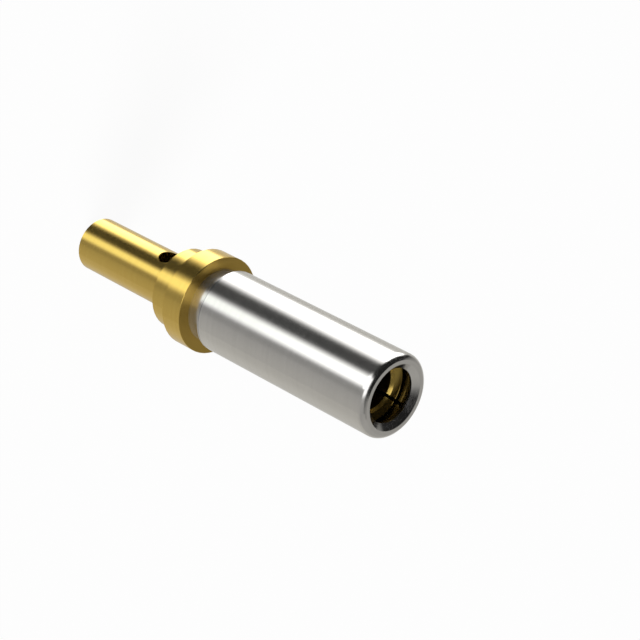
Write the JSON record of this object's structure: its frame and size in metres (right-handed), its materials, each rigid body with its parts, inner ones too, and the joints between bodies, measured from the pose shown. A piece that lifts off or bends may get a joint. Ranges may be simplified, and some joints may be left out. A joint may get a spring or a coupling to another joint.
{
  "type": "socket contact",
  "caption": "Hooded crimp socket contact: plated crimp barrel with inspection hole, collar and flange, and a slotted socket inside a swaged steel hood.",
  "frame": {"origin": "centre of the crimp end face, on which the contact stands", "axes": "+Z along the axis to the mouth of the hood, the inspection hole faces -Y"},
  "size_m": [0.0046, 0.0046, 0.0198],
  "materials": {
    "gold_plating": "satin, turned",
    "stainless_hood": "satin, polished"
  },
  "bodies": {
    "root": {"contact_body": "gold_plating", "hood": "stainless_hood"}
  },
  "joints": []
}
